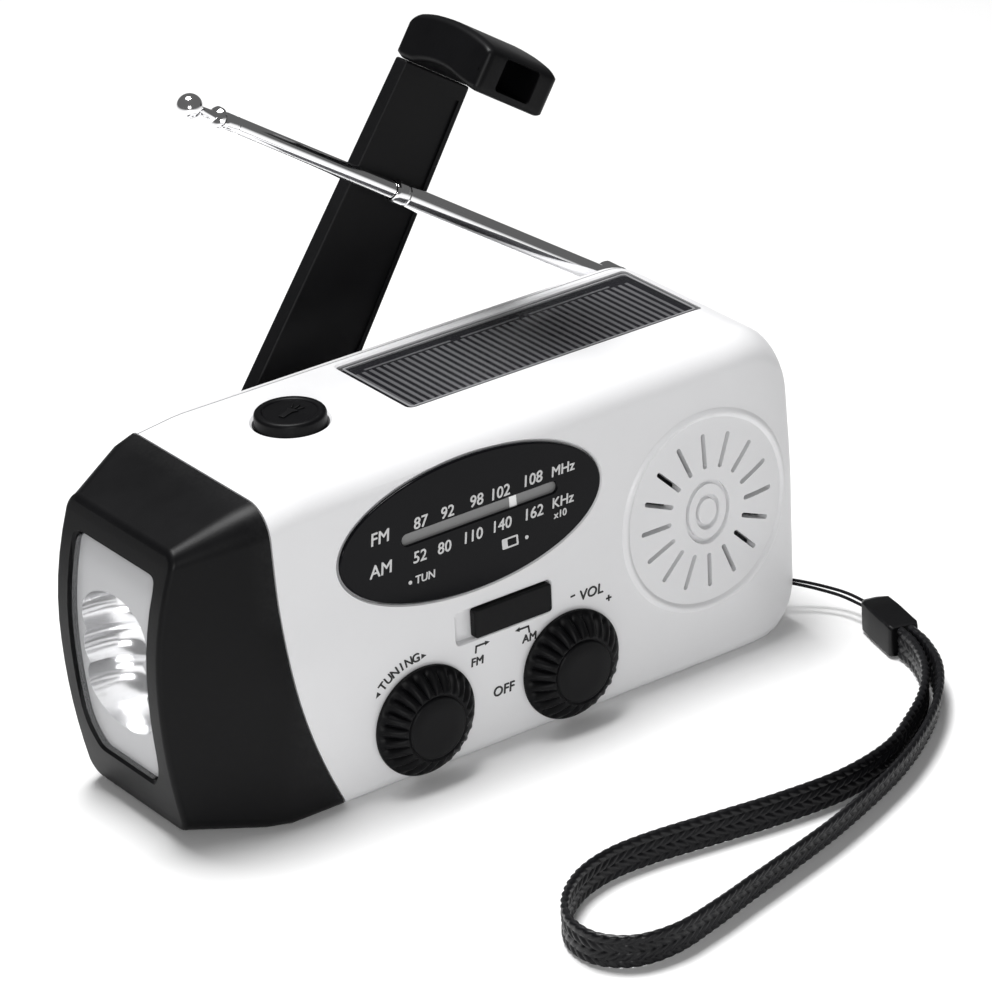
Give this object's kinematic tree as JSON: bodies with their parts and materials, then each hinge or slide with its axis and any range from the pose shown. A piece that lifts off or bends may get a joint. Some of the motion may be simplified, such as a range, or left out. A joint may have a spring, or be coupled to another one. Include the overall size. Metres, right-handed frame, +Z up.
{
  "type": "hand-crank emergency radio",
  "caption": "Small white emergency radio with a black torch head, tuning dial, loudspeaker grille, solar panel, hand-crank dynamo, telescopic antenna and wrist strap.",
  "frame": {"origin": "centre of the flat base of the case, on the surface that the radio stands on", "axes": "+X towards the loudspeaker end, -Y out of the front with the dial, +Z up"},
  "size_m": [0.1438, 0.1313, 0.1153],
  "materials": {
    "white_shell": "satin white ABS",
    "black_shell": "fine satin black ABS",
    "dial_gloss": "gloss black with printed scale",
    "white_trim": "smooth",
    "lens_clear": "clear, polished",
    "reflector": "vacuum-plated",
    "antenna_chrome": "polished chrome plate",
    "steel": "zinc-plated",
    "brass": "turned",
    "nylon": "natural nylon",
    "circuit_board": "green solder mask",
    "solar_cell": "dark amorphous cell",
    "battery_wrap": "shrink wrap",
    "ferrite": "sintered",
    "cone_paper": "pressed paper",
    "strap_fabric": "braided nylon"
  },
  "bodies": {
    "case": {"antenna_screw": "steel", "back_case": "white_shell", "band_switch": "steel", "battery": "battery_wrap", "case_screw_1": "steel", "case_screw_2": "steel", "case_screw_3": "steel", "case_screw_4": "steel", "dial_plate": "white_trim", "dial_window": "dial_gloss", "dynamo": "steel", "ferrite_rod": "ferrite", "front_case": "white_shell", "hub_bush": "brass", "idler_pin": "steel", "led_board": "circuit_board", "main_board": "circuit_board", "solar_cell": "solar_cell", "solar_cover": "lens_clear", "speaker_cone": "cone_paper", "speaker_frame": "steel", "speaker_magnet": "steel", "strap_bead": "black_shell", "strap_cord": "strap_fabric", "strap_pin": "steel", "strap_webbing": "strap_fabric", "torch_head": "black_shell", "torch_led_1": "lens_clear", "torch_led_2": "lens_clear", "torch_led_3": "lens_clear", "torch_lens": "lens_clear", "torch_reflector": "reflector", "torch_switch": "steel", "tuning_capacitor": "nylon", "volume_control": "steel"},
    "crank": {"crank_arm": "black_shell", "crank_hub": "black_shell", "crank_shaft": "steel", "hub_screw": "steel", "drive_gear": "nylon", "grip_pin": "steel"},
    "grip": {"crank_grip": "black_shell"},
    "idler": {"idler_gear": "nylon"},
    "rotor": {"dynamo_pinion": "brass", "dynamo_shaft": "steel"},
    "antenna_base": {"antenna_knuckle": "antenna_chrome", "antenna_section_1": "antenna_chrome"},
    "antenna_middle": {"antenna_section_2": "antenna_chrome"},
    "antenna_top": {"antenna_section_3": "antenna_chrome", "antenna_tip": "antenna_chrome"},
    "tuning": {"tuning_knob": "black_shell", "tuning_shaft": "brass", "tuning_pulley": "nylon"},
    "pointer": {"dial_pointer": "white_trim"},
    "volume": {"volume_knob": "black_shell", "volume_shaft": "brass"},
    "band": {"band_slider": "black_shell"},
    "torch_push": {"torch_button": "black_shell"}
  },
  "joints": [
    {"name": "crank_spin", "type": "hinge", "parent": "case", "child": "crank", "pos_m": [-0.03, 0.0293, 0.02], "axis": [0, 1, 0], "continuous": true},
    {"name": "grip_swivel", "type": "hinge", "parent": "crank", "child": "grip", "pos_m": [0.02392, 0.0293, 0.10303], "axis": [0.5446, 0, 0.8387], "range_deg": [0, 180]},
    {"name": "idler_spin", "type": "hinge", "parent": "case", "child": "idler", "pos_m": [-0.01833, 0.0125, 0.0339], "axis": [0, 1, 0], "continuous": true},
    {"name": "rotor_spin", "type": "hinge", "parent": "case", "child": "rotor", "pos_m": [-0.00128, 0.011, 0.0277], "axis": [0, 1, 0], "continuous": true},
    {"name": "antenna_swing", "type": "hinge", "parent": "case", "child": "antenna_base", "pos_m": [0.0575, 0.0249, 0.0546], "axis": [0, 1, 0], "range_deg": [-33.5, 16]},
    {"name": "antenna_middle_slide", "type": "slide", "parent": "antenna_base", "child": "antenna_middle", "axis": [-0.8339, 0, 0.5519], "range_m": [-0.038, 0]},
    {"name": "antenna_top_slide", "type": "slide", "parent": "antenna_middle", "child": "antenna_top", "axis": [-0.8339, 0, 0.5519], "range_m": [0, 0.035]},
    {"name": "tuning_turn", "type": "hinge", "parent": "case", "child": "tuning", "pos_m": [-0.0208, -0.0228, 0.0112], "axis": [0, 1, 0], "range_deg": [-208, 75]},
    {"name": "pointer_slide", "type": "slide", "parent": "case", "child": "pointer", "axis": [1, 0, 0], "range_m": [-0.022, 0.008]},
    {"name": "volume_turn", "type": "hinge", "parent": "case", "child": "volume", "pos_m": [0.0104, -0.0228, 0.0112], "axis": [0, 1, 0], "range_deg": [0, 280]},
    {"name": "band_slide", "type": "slide", "parent": "case", "child": "band", "axis": [1, 0, 0], "range_m": [-0.0032, 0]},
    {"name": "torch_press", "type": "slide", "parent": "case", "child": "torch_push", "axis": [0, 0, -1], "range_m": [0, 0.0012], "stiffness_N_per_m": 400}
  ],
  "couplings": [
    {"joint": "idler_spin", "follows": "crank_spin", "ratio": -4},
    {"joint": "rotor_spin", "follows": "crank_spin", "ratio": 16},
    {"joint": "pointer_slide", "follows": "tuning_turn", "m_per_rad": 0.006}
  ]
}
